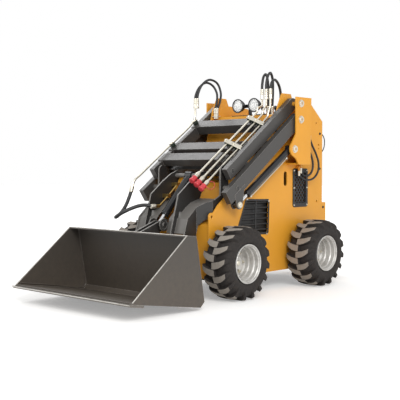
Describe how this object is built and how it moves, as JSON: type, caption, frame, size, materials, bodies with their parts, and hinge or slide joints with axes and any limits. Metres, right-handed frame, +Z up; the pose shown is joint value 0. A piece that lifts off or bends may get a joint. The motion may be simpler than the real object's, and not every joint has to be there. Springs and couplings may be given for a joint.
{
  "type": "compact stand-on wheeled loader",
  "caption": "Compact stand-on skid-steer loader with equal wheels, a rear tower, parallelogram lift arms, a gooseneck hitch and an earth bucket.",
  "frame": {"origin": "on the ground under the middle of the overall length, on the centre plane", "axes": "+Y to the operator's platform at the rear, the bucket points to -Y, +X to the machine's left, +Z up"},
  "size_m": [1.158, 2.6668, 1.6385],
  "materials": {
    "yellow": "satin yellow paint",
    "black": "satin black paint",
    "silver": "silver paint",
    "rubber": "dusty tyre rubber",
    "charcoal": "charcoal grey paint",
    "rod": "polished chrome",
    "bucket_paint": "dark grey paint",
    "edge_steel": "bare steel plate",
    "tread": "raised tread plate",
    "zinc": "zinc plated",
    "hose": "black hose rubber"
  },
  "bodies": {
    "chassis": {"side_plate_left": "yellow", "side_plate_right": "yellow", "side_louvre_left": "black", "side_louvre_right": "black", "side_screen_left": "black", "side_screen_right": "black", "tower_left": "yellow", "tower_right": "yellow", "floor_plate": "black", "front_hood": "yellow", "hood_grille": "black", "top_deck": "yellow", "rear_panel": "yellow", "engine_block": "black", "console": "black", "control_levers": "black", "grab_rail": "black", "work_lamps": "black", "wheel_motor_front_left": "black", "wheel_motor_front_right": "black", "wheel_motor_rear_left": "black", "wheel_motor_rear_right": "black", "bulkhead_fittings": "zinc", "far_bulkhead": "zinc", "tower_hose_front": "hose", "tower_hose_rear": "hose", "rear_cable": "hose"},
    "wheel_front_left": {"rim_front_left": "silver", "tyre_front_left": "rubber"},
    "wheel_front_right": {"rim_front_right": "silver", "tyre_front_right": "rubber"},
    "wheel_rear_left": {"rim_rear_left": "silver", "tyre_rear_left": "rubber"},
    "wheel_rear_right": {"rim_rear_right": "silver", "tyre_rear_right": "rubber"},
    "lower_arm": {"lower_arm": "charcoal"},
    "upper_arm": {"upper_arm": "charcoal", "hard_lines_left": "zinc", "hard_line_right": "zinc", "boom_hose_inner": "hose", "boom_hose_middle": "hose", "boom_hose_outer": "hose", "far_hose_front": "hose", "far_hose_rear": "hose"},
    "gooseneck": {"gooseneck": "charcoal"},
    "tilt_port": {"tilt_port": "zinc", "neck_hose": "hose"},
    "lift_barrel_left": {"lift_barrel_left": "charcoal"},
    "lift_barrel_right": {"lift_barrel_right": "charcoal"},
    "lift_rod_left": {"lift_rod_left": "rod"},
    "lift_rod_right": {"lift_rod_right": "rod"},
    "tilt_barrel": {"tilt_barrel": "charcoal"},
    "tilt_rod": {"tilt_rod": "rod"},
    "bucket": {"hitch_plate": "charcoal", "bucket_shell": "bucket_paint", "cutting_edge": "edge_steel"},
    "platform": {"step_platform": "tread"}
  },
  "joints": [
    {"name": "wheel_front_left_turn", "type": "hinge", "parent": "chassis", "child": "wheel_front_left", "pos_m": [0, -0.2235, 0.254], "axis": [1, 0, 0], "continuous": true},
    {"name": "wheel_front_right_turn", "type": "hinge", "parent": "chassis", "child": "wheel_front_right", "pos_m": [0, -0.2235, 0.254], "axis": [1, 0, 0], "continuous": true},
    {"name": "wheel_rear_left_turn", "type": "hinge", "parent": "chassis", "child": "wheel_rear_left", "pos_m": [0, 0.7295, 0.254], "axis": [1, 0, 0], "continuous": true},
    {"name": "wheel_rear_right_turn", "type": "hinge", "parent": "chassis", "child": "wheel_rear_right", "pos_m": [0, 0.7295, 0.254], "axis": [1, 0, 0], "continuous": true},
    {"name": "lift", "type": "hinge", "parent": "chassis", "child": "lower_arm", "pos_m": [0, 0.5445, 1.27], "axis": [-1, 0, 0], "range_deg": [0, 80]},
    {"name": "upper_lift", "type": "hinge", "parent": "chassis", "child": "upper_arm", "pos_m": [0, 0.5445, 1.391], "axis": [-1, 0, 0], "range_deg": [0, 80]},
    {"name": "neck_level", "type": "hinge", "parent": "lower_arm", "child": "gooseneck", "pos_m": [0, -0.1721, 0.7645], "axis": [-1, 0, 0], "range_deg": [-80, 0]},
    {"name": "tilt_port_level", "type": "hinge", "parent": "upper_arm", "child": "tilt_port", "pos_m": [0, -0.1721, 0.8855], "axis": [-1, 0, 0], "range_deg": [-80, 0]},
    {"name": "lift_barrel_left_swing", "type": "hinge", "parent": "chassis", "child": "lift_barrel_left", "pos_m": [0, 0.4665, 1.047], "axis": [-1, 0, 0], "range_deg": [0, 84]},
    {"name": "lift_rod_left_slide", "type": "slide", "parent": "lift_barrel_left", "child": "lift_rod_left", "axis": [0, -0.8413, -0.5406], "range_m": [0, 0.2999]},
    {"name": "lift_barrel_right_swing", "type": "hinge", "parent": "chassis", "child": "lift_barrel_right", "pos_m": [0, 0.4665, 1.047], "axis": [-1, 0, 0], "range_deg": [0, 84]},
    {"name": "lift_rod_right_slide", "type": "slide", "parent": "lift_barrel_right", "child": "lift_rod_right", "axis": [0, -0.8413, -0.5406], "range_m": [0, 0.2999]},
    {"name": "tilt", "type": "hinge", "parent": "gooseneck", "child": "bucket", "pos_m": [0, -0.5385, 0.152], "axis": [1, 0, 0], "range_deg": [-10, 45]},
    {"name": "tilt_barrel_swing", "type": "hinge", "parent": "gooseneck", "child": "tilt_barrel", "pos_m": [0, -0.1985, 0.851], "axis": [-1, 0, 0], "range_deg": [-2.9, 12.34]},
    {"name": "tilt_rod_slide", "type": "slide", "parent": "tilt_barrel", "child": "tilt_rod", "axis": [0, -0.6864, -0.7272], "range_m": [-0.0524, 0.2325]},
    {"name": "platform_fold", "type": "hinge", "parent": "chassis", "child": "platform", "pos_m": [0, 1.0785, 0.206], "axis": [1, 0, 0], "range_deg": [0, 85]}
  ],
  "couplings": [
    {"joint": "upper_lift", "follows": "lift", "ratio": 1},
    {"joint": "neck_level", "follows": "lift", "ratio": -1},
    {"joint": "tilt_port_level", "follows": "lift", "ratio": -1},
    {"joint": "lift_barrel_left_swing", "follows": "lift", "ratio": 1.0436},
    {"joint": "lift_rod_left_slide", "follows": "lift", "m_per_rad": 0.2141},
    {"joint": "lift_barrel_right_swing", "follows": "lift", "ratio": 1.0436},
    {"joint": "lift_rod_right_slide", "follows": "lift", "m_per_rad": 0.2141},
    {"joint": "tilt_barrel_swing", "follows": "tilt", "ratio": 0.2698},
    {"joint": "tilt_rod_slide", "follows": "tilt", "m_per_rad": 0.2947}
  ]
}
